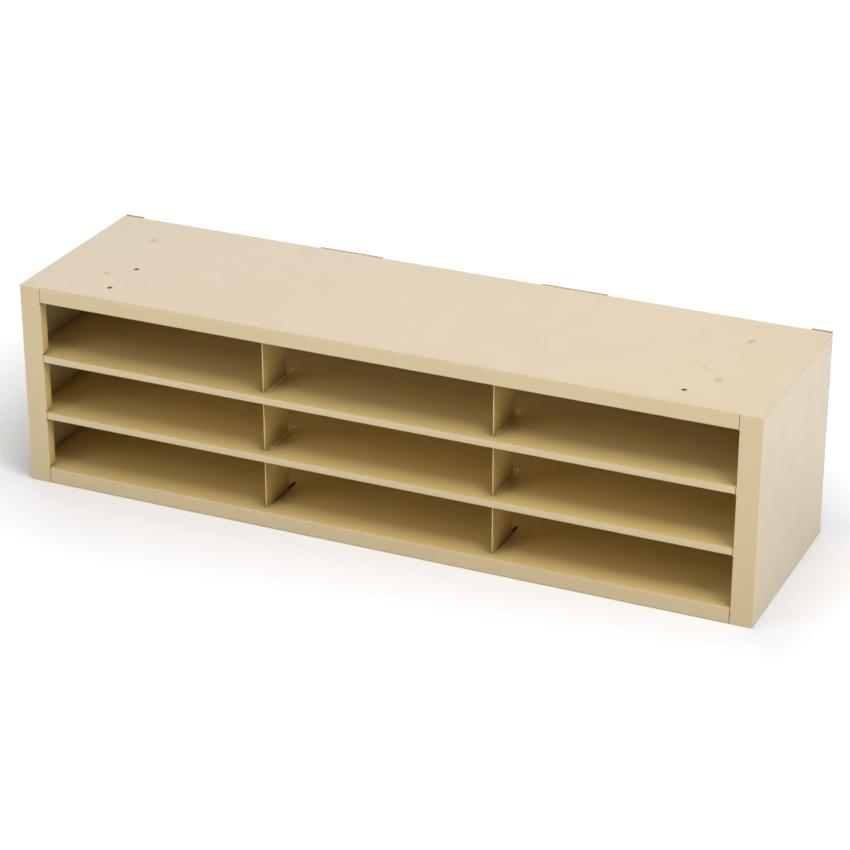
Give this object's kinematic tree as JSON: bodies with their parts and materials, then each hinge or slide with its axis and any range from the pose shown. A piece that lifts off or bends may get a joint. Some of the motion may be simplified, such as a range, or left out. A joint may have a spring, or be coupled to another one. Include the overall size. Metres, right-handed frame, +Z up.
{
  "type": "desktop file sorter",
  "caption": "Low, wide desktop sorter of folded sheet steel: flat compartments in three rows, open at the front, split by short removable upright dividers.",
  "frame": {"origin": "middle of the footprint, at the level of the desk the base stands on", "axes": "+X to the sorter's right as seen from the front, +Y from the open front to the back, +Z up"},
  "size_m": [0.9144, 0.254, 0.254],
  "materials": {
    "sand_enamel": "smooth satin baked enamel, sand beige",
    "inner_enamel": "satin baked enamel, sand beige, thinner inside",
    "divider_enamel": "satin baked enamel, sand beige, rubbed at its edges",
    "plug_plastic": "moulded sand beige plastic"
  },
  "bodies": {
    "cabinet": {"top_panel": "sand_enamel", "bottom_panel": "sand_enamel", "left_end_panel": "sand_enamel", "right_end_panel": "sand_enamel", "back_panel": "sand_enamel", "lower_shelf": "inner_enamel", "upper_shelf": "inner_enamel", "hole_plug": "plug_plastic"},
    "left_divider_plate": {"left_divider": "divider_enamel"},
    "right_divider_plate": {"right_divider": "divider_enamel"}
  },
  "joints": [
    {"name": "left_divider_slide", "type": "slide", "parent": "cabinet", "child": "left_divider_plate", "axis": [0, 1, 0], "range_m": [0, 0.015]},
    {"name": "right_divider_slide", "type": "slide", "parent": "cabinet", "child": "right_divider_plate", "axis": [0, 1, 0], "range_m": [0, 0.015]}
  ]
}
